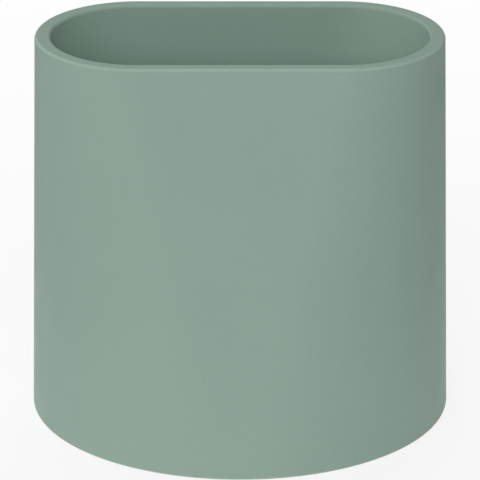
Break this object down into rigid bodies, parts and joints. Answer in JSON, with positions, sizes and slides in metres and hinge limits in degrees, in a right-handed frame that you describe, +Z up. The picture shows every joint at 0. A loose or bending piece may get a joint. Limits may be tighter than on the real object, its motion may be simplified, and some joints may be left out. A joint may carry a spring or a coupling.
{
  "type": "brush holder pot",
  "caption": "Free-standing open pot for brushes and pens: a round foot that blends into an obround mouth, one ceramic body on a recessed non-slip pad.",
  "frame": {"origin": "on the resting plane, at the centre of the round foot", "axes": "+Z up through the open mouth, +X along the long way of the mouth, -Y and +Y out of the two wide faces"},
  "size_m": [0.1068, 0.1066, 0.1],
  "materials": {
    "matt_glaze": "matt sage-green glaze, fine-grained, bare clay on the foot ring",
    "pad_rubber": "matt charcoal, fine pebbled grip texture"
  },
  "bodies": {
    "root": {"pot": "matt_glaze", "base_pad": "pad_rubber"}
  },
  "joints": []
}
